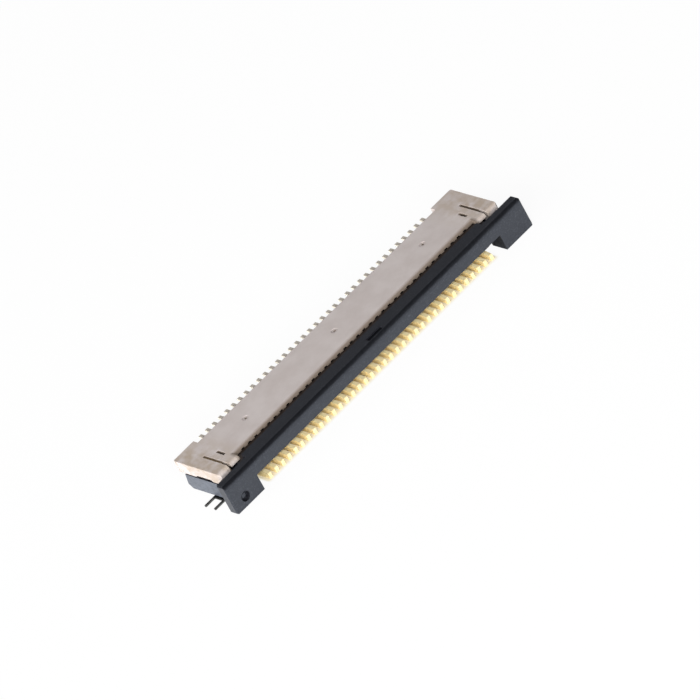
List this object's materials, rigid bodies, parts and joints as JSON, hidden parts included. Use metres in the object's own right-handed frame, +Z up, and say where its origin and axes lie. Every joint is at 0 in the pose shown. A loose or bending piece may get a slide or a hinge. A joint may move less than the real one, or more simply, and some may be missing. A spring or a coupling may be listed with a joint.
{
  "type": "fpc connector",
  "caption": "Low right-angle surface-mount connector for a flat flexible cable, with a toothed beige housing, gold contacts and a black slide lock drawn open.",
  "frame": {"origin": "middle of the housing, front to back and along the row, on the circuit board's face", "axes": "+X along the contact row, +Y away from the cable, +Z up from the circuit board"},
  "size_m": [0.0236, 0.0052, 0.0019],
  "materials": {
    "housing_plastic": "as moulded, beige heat-resistant plastic with a fine grain",
    "slider_plastic": "as moulded, black glass-filled plastic with a fine grain and a light sheen",
    "contact_gold": "gold plate over spring bronze, blanked edges",
    "nail_tin": "dull tin plate"
  },
  "bodies": {
    "housing_body": {"housing": "housing_plastic", "contact_01": "contact_gold", "contact_02": "contact_gold", "contact_03": "contact_gold", "contact_04": "contact_gold", "contact_05": "contact_gold", "contact_06": "contact_gold", "contact_07": "contact_gold", "contact_08": "contact_gold", "contact_09": "contact_gold", "contact_10": "contact_gold", "contact_11": "contact_gold", "contact_12": "contact_gold", "contact_13": "contact_gold", "contact_14": "contact_gold", "contact_15": "contact_gold", "contact_16": "contact_gold", "contact_17": "contact_gold", "contact_18": "contact_gold", "contact_19": "contact_gold", "contact_20": "contact_gold", "contact_21": "contact_gold", "contact_22": "contact_gold", "contact_23": "contact_gold", "contact_24": "contact_gold", "contact_25": "contact_gold", "contact_26": "contact_gold", "contact_27": "contact_gold", "contact_28": "contact_gold", "contact_29": "contact_gold", "contact_30": "contact_gold", "contact_31": "contact_gold", "contact_32": "contact_gold", "contact_33": "contact_gold", "contact_34": "contact_gold", "contact_35": "contact_gold", "contact_36": "contact_gold", "fitting_nail_left": "nail_tin", "fitting_nail_right": "nail_tin"},
    "slider_body": {"slider": "slider_plastic"}
  },
  "joints": [
    {"name": "slider_lock", "type": "slide", "parent": "housing_body", "child": "slider_body", "axis": [0, 1, 0], "range_m": [0, 0.0005]}
  ]
}
